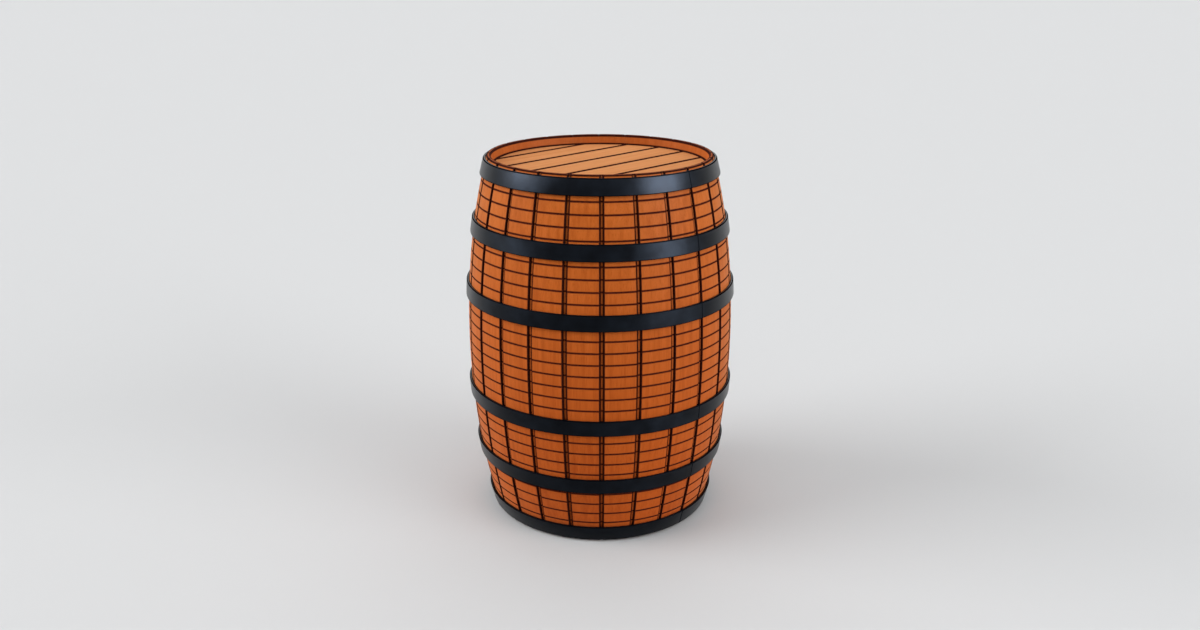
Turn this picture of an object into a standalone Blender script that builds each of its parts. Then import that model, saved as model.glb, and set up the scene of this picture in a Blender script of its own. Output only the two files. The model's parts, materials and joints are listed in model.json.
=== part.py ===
# Wooden barrel: staves held by steel hoops, two boarded heads seated in crozes, and a tapered bung.
# Metres, +Z up. The origin is the centre of the bottom end, and the bung faces +Y.

import math

import bmesh
import bpy
from mathutils import Matrix

# Driving dimensions of the shell
HEIGHT = 0.900
BILGE_RADIUS = 0.3292
END_RADIUS = 0.2721
BILGE_FULLNESS = 0.118
STAVE_COUNT = 24
STAVE_THICKNESS = 0.020
CHIME_RIM_WIDTH = 0.009
GROOVE_WIDTH = 0.0074
GROOVE_DEPTH = 0.004

# Heads
HEAD_RECESS = 0.0245
HEAD_THICKNESS = 0.022
HEAD_EDGE_THICKNESS = 0.009
HEAD_BEVEL_WIDTH = 0.018
CROZE_DEPTH = 0.006
BOARD_COUNT = 7
EDGE_BOARD_SHARE = 0.6
BOARD_ANGLE = 51.75
BOARD_CHAMFER = 0.0015
TONGUE_LENGTH = 0.006
TONGUE_THICKNESS = 0.006
TONGUE_TOP = 0.007

# Hoops, each placed by the distance from its end of the barrel to its nearer edge
HOOP_WIDTH = 0.038
HOOP_THICKNESS = 0.0067
CHIME_HOOP_SETBACK = 0.0055
QUARTER_HOOP_SETBACK = 0.1462
BILGE_HOOP_SETBACK = 0.3032
SEAM_ANGLE = 51.75
SEAM_SIZE = 0.0012

# Bung and its hole
BUNG_RADIUS = 0.025
BUNG_TAPER = 0.045
BUNG_PROUD = 0.004
BUNG_LENGTH_INSIDE = 0.026
BUNG_CHAMFER = 0.0015

# Fits and facets
CLEARANCE = 0.0003
CUT_MARGIN = 0.005
FACETS_PER_STAVE = 3
BUNG_FACETS = 24

STAVE_ANGLE = math.tau / STAVE_COUNT
FACET_ANGLE = STAVE_ANGLE / FACETS_PER_STAVE
JOINT_HALF_ANGLE = STAVE_ANGLE / 2 - CLEARANCE / 2 / BILGE_RADIUS
FIRST_STAVE_TURN = math.pi / 2
HOOP_SETBACKS = {
    "chime": CHIME_HOOP_SETBACK,
    "quarter": QUARTER_HOOP_SETBACK,
    "bilge": BILGE_HOOP_SETBACK,
}


def outer_radius(end_distance):
    """Radius of the stave's outer face at a distance from either end."""
    share = 1 - end_distance / (HEIGHT / 2)
    bend = share ** 2 * (1 - BILGE_FULLNESS * (1 - share ** 2))
    return BILGE_RADIUS - (BILGE_RADIUS - END_RADIUS) * bend


def inner_radius(end_distance):
    """Radius of the stave's inner face, away from the chime."""
    return outer_radius(end_distance) - STAVE_THICKNESS


def croze_radius():
    """Radius of the floor of the groove that holds the head."""
    return inner_radius(HEAD_RECESS) + CROZE_DEPTH


def mirrored(half):
    """Run a half profile of (radius, distance from the end) pairs from the bottom end to the top end."""
    bottom = list(half)
    top = [(radius, HEIGHT - distance) for radius, distance in reversed(half)]
    return bottom + [(radius, height) for radius, height in top if height > HEIGHT / 2]


def outer_profile(sunk=0.0):
    """Outer face from bottom to top, with a corner at each hoop edge so that a hoop lies flat on it."""
    distances = [0.0]
    for setback in HOOP_SETBACKS.values():
        distances += [setback, setback + HOOP_WIDTH]
    distances.append(HEIGHT / 2)
    return mirrored([(outer_radius(distance) - sunk, distance) for distance in distances])


def inner_profile():
    """Inner face from bottom to top: chime, croze, then the hollow of the barrel."""
    upper_lip = HEAD_RECESS - CLEARANCE
    lower_lip = HEAD_RECESS + HEAD_EDGE_THICKNESS + CLEARANCE
    half = [
        (END_RADIUS - CHIME_RIM_WIDTH, 0.0),
        (inner_radius(upper_lip), upper_lip),
        (croze_radius(), upper_lip),
        (croze_radius(), lower_lip),
        (inner_radius(lower_lip), lower_lip),
    ]
    for distance in (QUARTER_HOOP_SETBACK, BILGE_HOOP_SETBACK, HEIGHT / 2):
        half.append((inner_radius(distance), distance))
    return mirrored(half)


def finish_mesh(bm, name):
    """Weld the seams, turn the faces outward and store the mesh."""
    bmesh.ops.remove_doubles(bm, verts=bm.verts, dist=0.000001)
    bmesh.ops.dissolve_degenerate(bm, edges=bm.edges, dist=0.000001)
    bmesh.ops.recalc_face_normals(bm, faces=bm.faces)
    mesh = bpy.data.meshes.new(name)
    bm.to_mesh(mesh)
    bm.free()
    return mesh


def profile_verts(bm, profile, turn):
    """Vertices of a (radius, height) profile, standing in the plane at an angle about Z."""
    return [bm.verts.new((r * math.cos(turn), r * math.sin(turn), z)) for r, z in profile]


def spun_wedge(name, profile, start, sweep, steps):
    """Closed solid: a profile face swept through part of a turn about Z."""
    bm = bmesh.new()
    face = bm.faces.new(profile_verts(bm, profile, start))
    bmesh.ops.spin(bm, geom=[face], axis=(0, 0, 1), cent=(0, 0, 0), angle=sweep, steps=steps)
    return finish_mesh(bm, name)


def turned(name, profile, steps, start=0.0, ring=False):
    """Closed solid: a profile turned all the way about Z, from axis to axis or as a ring."""
    bm = bmesh.new()
    verts = profile_verts(bm, profile, start)
    edges = [bm.edges.new(pair) for pair in zip(verts, verts[1:])]
    if ring:
        edges.append(bm.edges.new((verts[-1], verts[0])))
    bmesh.ops.spin(
        bm, geom=verts + edges, axis=(0, 0, 1), cent=(0, 0, 0),
        angle=math.tau, steps=steps, use_merge=True,
    )
    return finish_mesh(bm, name)


def extruded(name, outline, length):
    """Closed solid: an outline in the XZ plane, extruded evenly to both sides along Y."""
    bm = bmesh.new()
    face = bm.faces.new([bm.verts.new((x, -length / 2, z)) for x, z in outline])
    swept = bmesh.ops.extrude_face_region(bm, geom=[face])
    moved = [item for item in swept["geom"] if isinstance(item, bmesh.types.BMVert)]
    bmesh.ops.translate(bm, verts=moved, vec=(0, length, 0))
    return finish_mesh(bm, name)


def boolean_mesh(name, blank, operation, tools):
    """Cut a blank by tools, each a mesh with its placing, and return the finished mesh."""
    work = bpy.data.objects.new(name, blank)
    bpy.context.scene.collection.objects.link(work)
    helpers = []
    for tool, placing in tools:
        helper = bpy.data.objects.new(name + "_tool", tool)
        helper.matrix_world = placing
        bpy.context.scene.collection.objects.link(helper)
        modifier = work.modifiers.new("cut", "BOOLEAN")
        modifier.operation = operation
        modifier.solver = "EXACT"
        modifier.object = helper
        helpers.append(helper)
    evaluated = work.evaluated_get(bpy.context.evaluated_depsgraph_get())
    mesh = bpy.data.meshes.new_from_object(evaluated)
    mesh.name = name
    for item in [work] + helpers:
        bpy.data.objects.remove(item, do_unlink=True)
    return mesh


def linear(channel):
    """Linear value of one sRGB channel."""
    if channel <= 0.04045:
        return channel / 12.92
    return ((channel + 0.055) / 1.055) ** 2.4


def make_material(name, colour, roughness, metallic):
    """Principled material from an sRGB hex colour."""
    material = bpy.data.materials.new(name)
    material.use_nodes = True
    shader = material.node_tree.nodes["Principled BSDF"]
    channels = [linear(int(colour[i:i + 2], 16) / 255) for i in (1, 3, 5)]
    shader.inputs["Base Color"].default_value = (*channels, 1.0)
    shader.inputs["Roughness"].default_value = roughness
    shader.inputs["Metallic"].default_value = metallic
    return material


def add_node(name, mesh, material, placing):
    """Add one sub-part with its material, placed in the barrel."""
    if not mesh.materials:
        mesh.materials.append(material)
    mesh.shade_smooth()
    mesh.set_sharp_from_angle(angle=math.radians(20))
    node = bpy.data.objects.new(name, mesh)
    node.matrix_world = placing
    bpy.context.scene.collection.objects.link(node)
    return node


def stave_mesh():
    """One stave on +X: a wedge of the wall with half a groove rebated along each outer edge."""
    outline = outer_profile() + list(reversed(inner_profile()))
    blank = spun_wedge("stave_blank", outline, -JOINT_HALF_ANGLE, 2 * JOINT_HALF_ANGLE, FACETS_PER_STAVE)
    floor = outer_profile(sunk=GROOVE_DEPTH)
    floor[0] = (floor[0][0], -CUT_MARGIN)
    floor[-1] = (floor[-1][0], HEIGHT + CUT_MARGIN)
    open_side = [(BILGE_RADIUS + CUT_MARGIN, HEIGHT + CUT_MARGIN), (BILGE_RADIUS + CUT_MARGIN, -CUT_MARGIN)]
    rebate_half_angle = GROOVE_WIDTH / 2 / BILGE_RADIUS
    rebate = spun_wedge("rebate", floor + open_side, -rebate_half_angle, 2 * rebate_half_angle, 2)
    sides = [Matrix.Rotation(side * STAVE_ANGLE / 2, 4, "Z") for side in (-1, 1)]
    return boolean_mesh("stave", blank, "DIFFERENCE", [(rebate, side) for side in sides])


def bung_seat():
    """Placing of the bung: on the flat middle facet of its stave, its own Z along the outward axis +Y."""
    facet_flat = BILGE_RADIUS * math.cos(JOINT_HALF_ANGLE / FACETS_PER_STAVE)
    return Matrix.Translation((0, facet_flat, HEIGHT / 2)) @ Matrix.Rotation(-math.pi / 2, 4, "X")


def bung_radius(height):
    """Radius of the hole's cone at a height above the stave's outer face."""
    return BUNG_RADIUS + BUNG_TAPER * height


def bung_hole_mesh():
    """Cone that cuts the bung hole, from inside the barrel to clear of the stave."""
    depth = STAVE_THICKNESS + CUT_MARGIN
    profile = [
        (0, -depth),
        (bung_radius(-depth), -depth),
        (bung_radius(CUT_MARGIN), CUT_MARGIN),
        (0, CUT_MARGIN),
    ]
    return turned("bung_hole", profile, BUNG_FACETS)


def bung_mesh():
    """Tapered bung, a clearance smaller than its hole, with both ends chamfered."""
    inside = -BUNG_LENGTH_INSIDE
    narrow = bung_radius(inside) - CLEARANCE
    wide = bung_radius(BUNG_PROUD) - CLEARANCE
    profile = [
        (0, inside),
        (narrow - BUNG_CHAMFER, inside),
        (narrow, inside + BUNG_CHAMFER),
        (wide, BUNG_PROUD - BUNG_CHAMFER),
        (wide - BUNG_CHAMFER, BUNG_PROUD),
        (0, BUNG_PROUD),
    ]
    return turned("bung", profile, BUNG_FACETS)


def hoop_rings(setback, at_top):
    """Where a hoop lies on the staves: its lower and upper (radius, height)."""
    rings = [(outer_radius(distance), distance) for distance in (setback, setback + HOOP_WIDTH)]
    if at_top:
        rings = [(radius, HEIGHT - distance) for radius, distance in reversed(rings)]
    return rings


def facet_flat_radius(radius, angle):
    """Distance from the axis to a facet of a turned piece, measured at an angle."""
    from_middle = (angle + FACET_ANGLE / 2) % FACET_ANGLE - FACET_ANGLE / 2
    return radius * math.cos(FACET_ANGLE / 2) / math.cos(from_middle)


def seam_tool():
    """Thin square bar, set on edge, that scores the seam."""
    half = SEAM_SIZE / math.sqrt(2)
    outline = [(half, 0), (0, half), (-half, 0), (0, -half)]
    return extruded("seam_tool", outline, 2 * HOOP_WIDTH)


def hoop_mesh(name, setback, at_top):
    """One hoop: a conical band lying on the staves, with its weld seam scored across it."""
    (low_radius, low), (high_radius, high) = hoop_rings(setback, at_top)
    outward = CLEARANCE + HOOP_THICKNESS
    profile = [
        (low_radius + outward, low),
        (high_radius + outward, high),
        (high_radius + CLEARANCE, high),
        (low_radius + CLEARANCE, low),
    ]
    band = turned("hoop_band", profile, STAVE_COUNT * FACETS_PER_STAVE, FACET_ANGLE / 2, ring=True)
    angle = math.radians(SEAM_ANGLE) - math.pi / 2
    seam_radius = facet_flat_radius((low_radius + high_radius) / 2 + outward, angle)
    stand = Matrix.Rotation(angle, 4, "Z") @ Matrix.Translation((seam_radius, 0, (low + high) / 2))
    lean = Matrix.Rotation(math.atan2(high_radius - low_radius, HOOP_WIDTH), 4, "Y")
    upright = Matrix.Rotation(math.pi / 2, 4, "X")
    return boolean_mesh(name, band, "DIFFERENCE", [(seam_tool(), stand @ lean @ upright)])


def head_radius():
    """Radius of a head's edge, a clearance short of the croze floor."""
    return croze_radius() - CLEARANCE


def head_mesh():
    """Whole head, its outer face at height zero, thinned to a seating edge by a bevel on the inner face."""
    edge = head_radius()
    seat_inside = inner_radius(HEAD_RECESS) - CLEARANCE
    profile = [
        (0, -HEAD_THICKNESS),
        (seat_inside - HEAD_BEVEL_WIDTH, -HEAD_THICKNESS),
        (seat_inside, -HEAD_EDGE_THICKNESS),
        (edge, -HEAD_EDGE_THICKNESS),
        (edge, 0),
        (0, 0),
    ]
    return turned("head", profile, STAVE_COUNT * FACETS_PER_STAVE, FACET_ANGLE / 2)


def board_joints():
    """Offsets of the joints between the boards: full boards, and a narrower one at each edge."""
    full_boards = BOARD_COUNT - 2
    width = 2 * head_radius() / (full_boards + 2 * EDGE_BOARD_SHARE)
    return [(index - full_boards / 2) * width for index in range(full_boards + 1)]


def board_outline(left, right):
    """Cross-section of one board; a side with no joint runs past the rim."""
    far = head_radius() + CUT_MARGIN
    above = CUT_MARGIN
    below = -HEAD_THICKNESS - CUT_MARGIN
    tongue_bottom = TONGUE_TOP + TONGUE_THICKNESS
    outline = []
    if right is None:
        outline += [(far, above), (far, below)]
    else:
        side = right - CLEARANCE / 2
        tip = side + TONGUE_LENGTH
        outline += [(side - BOARD_CHAMFER - above, above), (side, -BOARD_CHAMFER)]
        outline += [(side, -TONGUE_TOP), (tip, -TONGUE_TOP), (tip, -tongue_bottom)]
        outline += [(side, -tongue_bottom), (side, below)]
    if left is None:
        outline += [(-far, below), (-far, above)]
    else:
        side = left + CLEARANCE / 2
        floor = left - CLEARANCE / 2 + TONGUE_LENGTH + CLEARANCE
        outline += [(side, below), (side, -tongue_bottom - CLEARANCE), (floor, -tongue_bottom - CLEARANCE)]
        outline += [(floor, -TONGUE_TOP + CLEARANCE), (side, -TONGUE_TOP + CLEARANCE)]
        outline += [(side, -BOARD_CHAMFER), (side + BOARD_CHAMFER + above, above)]
    return outline


def board_meshes():
    """The boards of one head, cut from the whole head along their tongued joints."""
    blank = head_mesh()
    joints = board_joints()
    along = Matrix.Rotation(math.radians(BOARD_ANGLE) - math.pi / 2, 4, "Z")
    boards = []
    for left, right in zip([None] + joints, joints + [None]):
        slab = extruded("slab", board_outline(left, right), 2 * (head_radius() + CUT_MARGIN))
        boards.append(boolean_mesh("board", blank, "INTERSECT", [(slab, along)]))
    return boards


def build_staves(material):
    """All staves, the first one on +Y with the bung hole through it."""
    plain = stave_mesh()
    hole_place = Matrix.Rotation(-FIRST_STAVE_TURN, 4, "Z") @ bung_seat()
    bored = boolean_mesh("stave_bored", plain, "DIFFERENCE", [(bung_hole_mesh(), hole_place)])
    for index in range(STAVE_COUNT):
        turn = Matrix.Rotation(FIRST_STAVE_TURN + index * STAVE_ANGLE, 4, "Z")
        add_node(f"stave_{index + 1:02d}", plain if index else bored, material, turn)


def build_heads(material):
    """Top head, and the same head turned over for the bottom."""
    top = Matrix.Translation((0, 0, HEIGHT - HEAD_RECESS))
    bottom = Matrix.Translation((0, 0, HEAD_RECESS)) @ Matrix.Rotation(math.pi, 4, "X")
    for index, mesh in enumerate(board_meshes()):
        add_node(f"head_top_board_{index + 1}", mesh, material, top)
        add_node(f"head_bottom_board_{index + 1}", mesh, material, bottom)


def build_hoops(material):
    """Three hoops on each half of the barrel."""
    for name, setback in HOOP_SETBACKS.items():
        for end in ("bottom", "top"):
            node_name = f"hoop_{name}_{end}"
            mesh = hoop_mesh(node_name, setback, end == "top")
            add_node(node_name, mesh, material, Matrix.Identity(4))


def clear_scene():
    """Remove whatever the scene holds."""
    for item in list(bpy.data.objects):
        bpy.data.objects.remove(item, do_unlink=True)


def main():
    clear_scene()
    build_staves(make_material("stave_oak", "#b05a26", 0.6, 0.0))
    build_heads(make_material("head_oak", "#d99160", 0.6, 0.0))
    build_hoops(make_material("hoop_steel", "#23272e", 0.4, 0.8))
    add_node("bung", bung_mesh(), make_material("bung_wood", "#c98a52", 0.6, 0.0), bung_seat())
    for node in sorted(bpy.data.objects, key=lambda item: item.name):
        print(node.name, len(node.data.polygons), "faces")


main()
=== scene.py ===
# %% [markdown]
# # A wooden barrel
# A barrel is a ring of bent staves that steel hoops pull together, with a boarded head let into a groove
# at each end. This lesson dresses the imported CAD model: it keeps every piece where the CAD has it, and
# makes each one again with the fine shape and the finish that the photograph shows.

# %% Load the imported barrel
import json
import math
import random

import bmesh
import bpy
from mathutils import Matrix, Vector


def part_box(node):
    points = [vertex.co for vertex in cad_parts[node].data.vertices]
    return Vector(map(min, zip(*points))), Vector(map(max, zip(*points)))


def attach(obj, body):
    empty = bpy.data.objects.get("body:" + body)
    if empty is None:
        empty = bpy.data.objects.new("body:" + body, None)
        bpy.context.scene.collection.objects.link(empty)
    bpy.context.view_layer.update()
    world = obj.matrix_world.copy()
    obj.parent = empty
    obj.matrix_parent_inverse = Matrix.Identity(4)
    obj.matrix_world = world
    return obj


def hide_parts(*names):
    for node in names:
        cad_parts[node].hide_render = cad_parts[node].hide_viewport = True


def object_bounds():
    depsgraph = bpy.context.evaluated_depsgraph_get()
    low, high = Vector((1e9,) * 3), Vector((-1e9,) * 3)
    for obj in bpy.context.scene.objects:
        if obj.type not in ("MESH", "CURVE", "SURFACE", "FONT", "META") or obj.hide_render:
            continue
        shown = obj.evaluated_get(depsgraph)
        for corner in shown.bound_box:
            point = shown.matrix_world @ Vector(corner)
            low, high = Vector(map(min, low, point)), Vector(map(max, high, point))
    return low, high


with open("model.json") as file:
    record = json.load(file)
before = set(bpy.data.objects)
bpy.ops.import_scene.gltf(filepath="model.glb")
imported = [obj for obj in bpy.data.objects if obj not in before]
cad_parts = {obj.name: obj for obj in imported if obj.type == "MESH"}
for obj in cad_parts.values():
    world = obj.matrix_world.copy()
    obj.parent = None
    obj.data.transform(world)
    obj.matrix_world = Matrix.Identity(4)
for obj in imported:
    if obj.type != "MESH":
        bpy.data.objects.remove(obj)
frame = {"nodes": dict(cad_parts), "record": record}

cad_low, cad_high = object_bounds()
cad_box = [[float(value) for value in corner] for corner in (cad_low, cad_high)]
HEIGHT = cad_box[1][2] - cad_box[0][2]
print("barrel height", round(HEIGHT, 4), "m,", len(frame["nodes"]), "CAD nodes")

# %% [markdown]
# ## Camera
# The camera comes first, because everything after it is made to look like the photograph from there. Its
# place could be found by eye, but here a pinhole camera was fitted to the stave joints, the score lines,
# the rim and the outline, which is exact to about a pixel. The CAD model has the middle of a stave in
# front, while the photograph looks nearly straight at a joint, so the camera is turned about the barrel's
# axis by almost half a stave.

# %% Camera
PHOTO_WIDTH_PX = 1200
FOCAL_LENGTH_PX = 1072.9
SENSOR_WIDTH_MM = 36.0
CAMERA_DISTANCE = 2.716
CAMERA_ELEVATION = math.radians(18.90)
CAMERA_AZIMUTH = math.radians(6.755)
AIM_HEIGHT = 0.4867


def direction(azimuth, elevation):
    """Unit vector from the barrel, where azimuth zero is its front and azimuth grows to the right."""
    level = math.cos(elevation)
    return Vector((level * math.sin(azimuth), -level * math.cos(azimuth), math.sin(elevation)))


camera_data = bpy.data.cameras.new("photo_camera")
camera_data.sensor_fit = "HORIZONTAL"
camera_data.sensor_width = SENSOR_WIDTH_MM
camera_data.lens = SENSOR_WIDTH_MM * FOCAL_LENGTH_PX / PHOTO_WIDTH_PX
camera = bpy.data.objects.new("photo_camera", camera_data)
bpy.context.scene.collection.objects.link(camera)
to_camera = direction(CAMERA_AZIMUTH, CAMERA_ELEVATION)
camera.location = Vector((0, 0, AIM_HEIGHT)) + CAMERA_DISTANCE * to_camera
camera.rotation_euler = to_camera.to_track_quat("Z", "Y").to_euler()
bpy.context.scene.camera = camera
print("lens", round(camera_data.lens, 2), "mm, camera at", [round(value, 3) for value in camera.location])

# %% [markdown]
# ## Helpers for materials
# Colours are written as sRGB hex values, as a picture editor shows them, and one function turns them to
# the linear values that the shader wants. One small function adds a node, sets its values and links its
# inputs, so each material below reads as a short recipe. Pattern sizes are given in millimetres, as on
# the real piece.

# %% Material helpers
# A Mix node has sockets for numbers, vectors and colours. These are the places of the colour sockets.
MIX_FIRST, MIX_SECOND, MIX_RESULT = 6, 7, 2


def linear(hex_colour):
    """Linear RGBA of an sRGB hex colour."""
    channels = [int(hex_colour[i:i + 2], 16) / 255 for i in (1, 3, 5)]
    curved = [c / 12.92 if c <= 0.04045 else ((c + 0.055) / 1.055) ** 2.4 for c in channels]
    return (*curved, 1.0)


def feed(node, inputs):
    """Give inputs of a node a value, or a link where the value is another node's socket."""
    for name, value in inputs.items():
        if isinstance(value, bpy.types.NodeSocket):
            node.id_data.links.new(value, node.inputs[name])
        else:
            node.inputs[name].default_value = value


def add(tree, kind, settings=None, inputs=None, stops=None):
    """Add one node: its own settings, what feeds its inputs, and the stops of a colour ramp."""
    node = tree.nodes.new(kind)
    for name, value in (settings or {}).items():
        setattr(node, name, value)
    feed(node, inputs or {})
    if stops:
        ramp = node.color_ramp.elements
        ramp.remove(ramp[1])
        ramp[0].position, ramp[0].color = stops[0]
        for position, colour in stops[1:]:
            ramp.new(position).color = colour
    return node


def new_material(name):
    """An empty Principled material, with its tree and shader."""
    material = bpy.data.materials.new(name)
    material.use_nodes = True
    tree = material.node_tree
    return material, tree, tree.nodes["Principled BSDF"]


def per_mm(size_mm):
    """Texture scale whose pattern repeats about once in a size in millimetres."""
    return 1000.0 / size_mm


print("sRGB #808080 is", round(linear("#808080")[0], 3), "in linear light")

# %% [markdown]
# ## The grain of oak
# Sawn oak shows long streaks where the growth rings leave the face, fine dark pores along the grain, and
# a slow change of tone across a board. An image of wood would need a map for every piece. Noise that is
# drawn out along the grain needs none, and has no seams. The noise is four-dimensional: a number stored
# on each piece moves it to another slice of the pattern, so that no streak runs across a joint, just as
# on boards from different trees.

# %% Oak grain
GRAIN_STRETCH = 0.035
STREAK_MM = 9.0
STREAK_DETAIL = 5.0
# The pores of oak are about 0.3 mm wide. That is too fine to show, so they are drawn four times as wide.
PORE_MM = 1.3
PORE_DETAIL = 2.0
PORE_DARKEST = 0.34
PORE_END = 0.46
PORE_SHARE = 0.5
BOARD_TONE_MM = 60.0
BOARD_TONE_DETAIL = 2.0
TONE_SLICE = 40.0
SHADE_SHARES = {"streak": 0.6, "board": 0.25, "tone": 0.1}
SHADE_STOPS = (0.25, 0.5, 0.78)


def oak_grain(tree, colours, along, turn):
    """Colour, streak and pore sockets of oak whose grain runs along one axis of the turned pattern."""
    place = add(tree, "ShaderNodeTexCoord")
    tone = add(tree, "ShaderNodeAttribute", {"attribute_name": "tone"}).outputs["Fac"]
    piece_slice = add(tree, "ShaderNodeMath", {"operation": "MULTIPLY"}, {0: tone, 1: TONE_SLICE})
    turned = add(tree, "ShaderNodeMapping", None, {
        "Vector": place.outputs["Object"], "Rotation": (0, 0, turn),
    })
    stretch = [GRAIN_STRETCH if axis == along else 1.0 for axis in "XYZ"]
    grain = add(tree, "ShaderNodeMapping", None, {"Vector": turned.outputs["Vector"], "Scale": stretch})
    patterns = {"tone": tone}
    for name, size, detail in (
        ("streak", STREAK_MM, STREAK_DETAIL),
        ("pore", PORE_MM, PORE_DETAIL),
        ("board", BOARD_TONE_MM, BOARD_TONE_DETAIL),
    ):
        noise = add(tree, "ShaderNodeTexNoise", {"noise_dimensions": "4D"}, {
            "Vector": grain.outputs["Vector"], "W": piece_slice.outputs["Value"],
            "Scale": per_mm(size), "Detail": detail,
        })
        patterns[name] = noise.outputs["Fac"]
    shade = 0.0
    for name, share in SHADE_SHARES.items():
        mixed = add(tree, "ShaderNodeMath", {"operation": "MULTIPLY_ADD"}, {
            0: patterns[name], 1: share, 2: shade,
        })
        shade = mixed.outputs["Value"]
    stops = [(position, linear(colour)) for position, colour in zip(SHADE_STOPS, colours)]
    ramp = add(tree, "ShaderNodeValToRGB", None, {"Fac": shade}, stops)
    pore_mask = add(tree, "ShaderNodeMapRange", None, {
        "Value": patterns["pore"], "From Min": PORE_DARKEST, "From Max": PORE_END,
        "To Min": PORE_SHARE, "To Max": 0.0,
    })
    colour = add(tree, "ShaderNodeMix", {"data_type": "RGBA"}, {
        "Factor": pore_mask.outputs["Result"],
        MIX_FIRST: ramp.outputs["Color"], MIX_SECOND: linear(colours[0]),
    })
    return colour.outputs[MIX_RESULT], patterns["streak"], patterns["pore"]


print("streaks", STREAK_MM, "mm wide, drawn out", round(1 / GRAIN_STRETCH), "times along the grain")

# %% [markdown]
# ## Oak for the staves
# A cooper bends the staves over a fire and rubs the finished cask with oil. Outside, the eye gets a warm
# orange brown that is nearly matt. Its colour is painted deeper and darker towards the foot, as painted
# shade for the lower staves, which face down and away from the light. The wood browns softly beside every
# burnt line, and a number on the mesh says where: one on the burn, falling to zero on the next vertex.
# Inside, the fire has toasted the wood to an even brown, which is darkened further as painted shade for the
# inside of the chime.

# %% Oiled and toasted oak
# Painted shade: the oak's colour is multiplied by this tint in full at the foot and not at all at the top,
# so it darkens towards the bottom.
FOOT_SHADE_TINT = "#f9cf95"
HALO_BROWN = "#6b2a10"
SHEEN_TINT = "#ffd49c"
GLOSS_SPREAD = 0.08
PORE_RELIEF = 0.0004
PORE_RELIEF_STRENGTH = 0.5


def oak(name, colours, along, roughness, specular, sheen=0.0, turn=0.0):
    """Oak from its dark, middle and light colour, with painted shade darkening it to the barrel's foot, and
    browned beside burns.
    """
    material, tree, shader = new_material(name)
    colour, streak, pore = oak_grain(tree, colours, along, turn)
    place = add(tree, "ShaderNodeTexCoord")
    height = add(tree, "ShaderNodeSeparateXYZ", None, {"Vector": place.outputs["Object"]})
    # Painted shade, from nothing at the top to full at the foot.
    foot_shade = add(tree, "ShaderNodeMapRange", None, {
        "Value": height.outputs["Z"], "From Min": 0.0, "From Max": HEIGHT, "To Min": 1.0, "To Max": 0.0,
    })
    shaded_to_foot = add(tree, "ShaderNodeMix", {"data_type": "RGBA", "blend_type": "MULTIPLY"}, {
        "Factor": foot_shade.outputs["Result"], MIX_FIRST: colour, MIX_SECOND: linear(FOOT_SHADE_TINT),
    })
    halo = add(tree, "ShaderNodeAttribute", {"attribute_name": "halo"})
    halo_mask = add(tree, "ShaderNodeMath", {"operation": "MULTIPLY"}, {0: halo.outputs["Fac"], 1: streak})
    browned = add(tree, "ShaderNodeMix", {"data_type": "RGBA"}, {
        "Factor": halo_mask.outputs["Value"],
        MIX_FIRST: shaded_to_foot.outputs[MIX_RESULT], MIX_SECOND: linear(HALO_BROWN),
    })
    gloss = add(tree, "ShaderNodeMapRange", None, {
        "Value": streak, "To Min": roughness + GLOSS_SPREAD, "To Max": roughness - GLOSS_SPREAD,
    })
    relief = add(tree, "ShaderNodeBump", None, {
        "Strength": PORE_RELIEF_STRENGTH, "Distance": PORE_RELIEF, "Height": pore,
    })
    feed(shader, {
        "Base Color": browned.outputs[MIX_RESULT],
        "Roughness": gloss.outputs["Result"],
        "Normal": relief.outputs["Normal"],
        "Specular IOR Level": specular,
        "Sheen Weight": sheen,
        "Sheen Tint": linear(SHEEN_TINT),
    })
    return material


# Oiled oak looks warm and nearly matt. Its raised fibres catch the light on the flanks, as a soft sheen.
STAVE_OAK = oak("oiled_oak", ("#ac5017", "#c76727", "#d27133"), "Z", 0.5, 0.03, sheen=0.35)
# Toasted oak looks even and dry: a duller brown with no sheen. Its colour is darkened partly as painted
# shade, for the inside of the chime.
TOASTED_SHADED_OAK = oak("toasted_shaded_oak", ("#a4511e", "#b35d28", "#bd652f"), "Z", 0.6, 0.03)
print("made", STAVE_OAK.name, "and", TOASTED_SHADED_OAK.name)

# %% [markdown]
# ## Burnt lines
# The photograph draws dark brown lines round every stave, and darker ones along the edges of staves and
# rim. On wood such a line is burnt in with a hot wire or a scoring iron. To the eye it is dull, nearly
# black, and a little uneven. It could be painted into the oak's colour, but here each line is a strip of
# faces with a burnt material, so it stays sharp at any distance.

# %% Scorched and charred oak
SCORCH_MM = 3.0
SCORCH_DETAIL = 4.0
SCORCH_STOPS = (0.35, 0.65)
BURNT_ROUGHNESS = 0.85
BURNT_SPECULAR = 0.03
CHAR_RELIEF = 0.0004
CHAR_RELIEF_STRENGTH = 0.4


def burnt_oak(name, colours):
    """Burnt wood: no gloss, darker in patches along the line and cracked like charcoal."""
    material, tree, shader = new_material(name)
    place = add(tree, "ShaderNodeTexCoord")
    patch = add(tree, "ShaderNodeTexNoise", None, {
        "Vector": place.outputs["Object"], "Scale": per_mm(SCORCH_MM), "Detail": SCORCH_DETAIL,
    })
    stops = [(position, linear(colour)) for position, colour in zip(SCORCH_STOPS, colours)]
    ramp = add(tree, "ShaderNodeValToRGB", None, {"Fac": patch.outputs["Fac"]}, stops)
    relief = add(tree, "ShaderNodeBump", None, {
        "Strength": CHAR_RELIEF_STRENGTH, "Distance": CHAR_RELIEF, "Height": patch.outputs["Fac"],
    })
    feed(shader, {
        "Base Color": ramp.outputs["Color"],
        "Normal": relief.outputs["Normal"],
        "Roughness": BURNT_ROUGHNESS,
        "Specular IOR Level": BURNT_SPECULAR,
    })
    return material


# Scorched oak looks like a brown pencil line: the iron passed lightly over it.
SCORCHED_OAK = burnt_oak("scorched_oak", ("#2f0f08", "#5c2111"))
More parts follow.
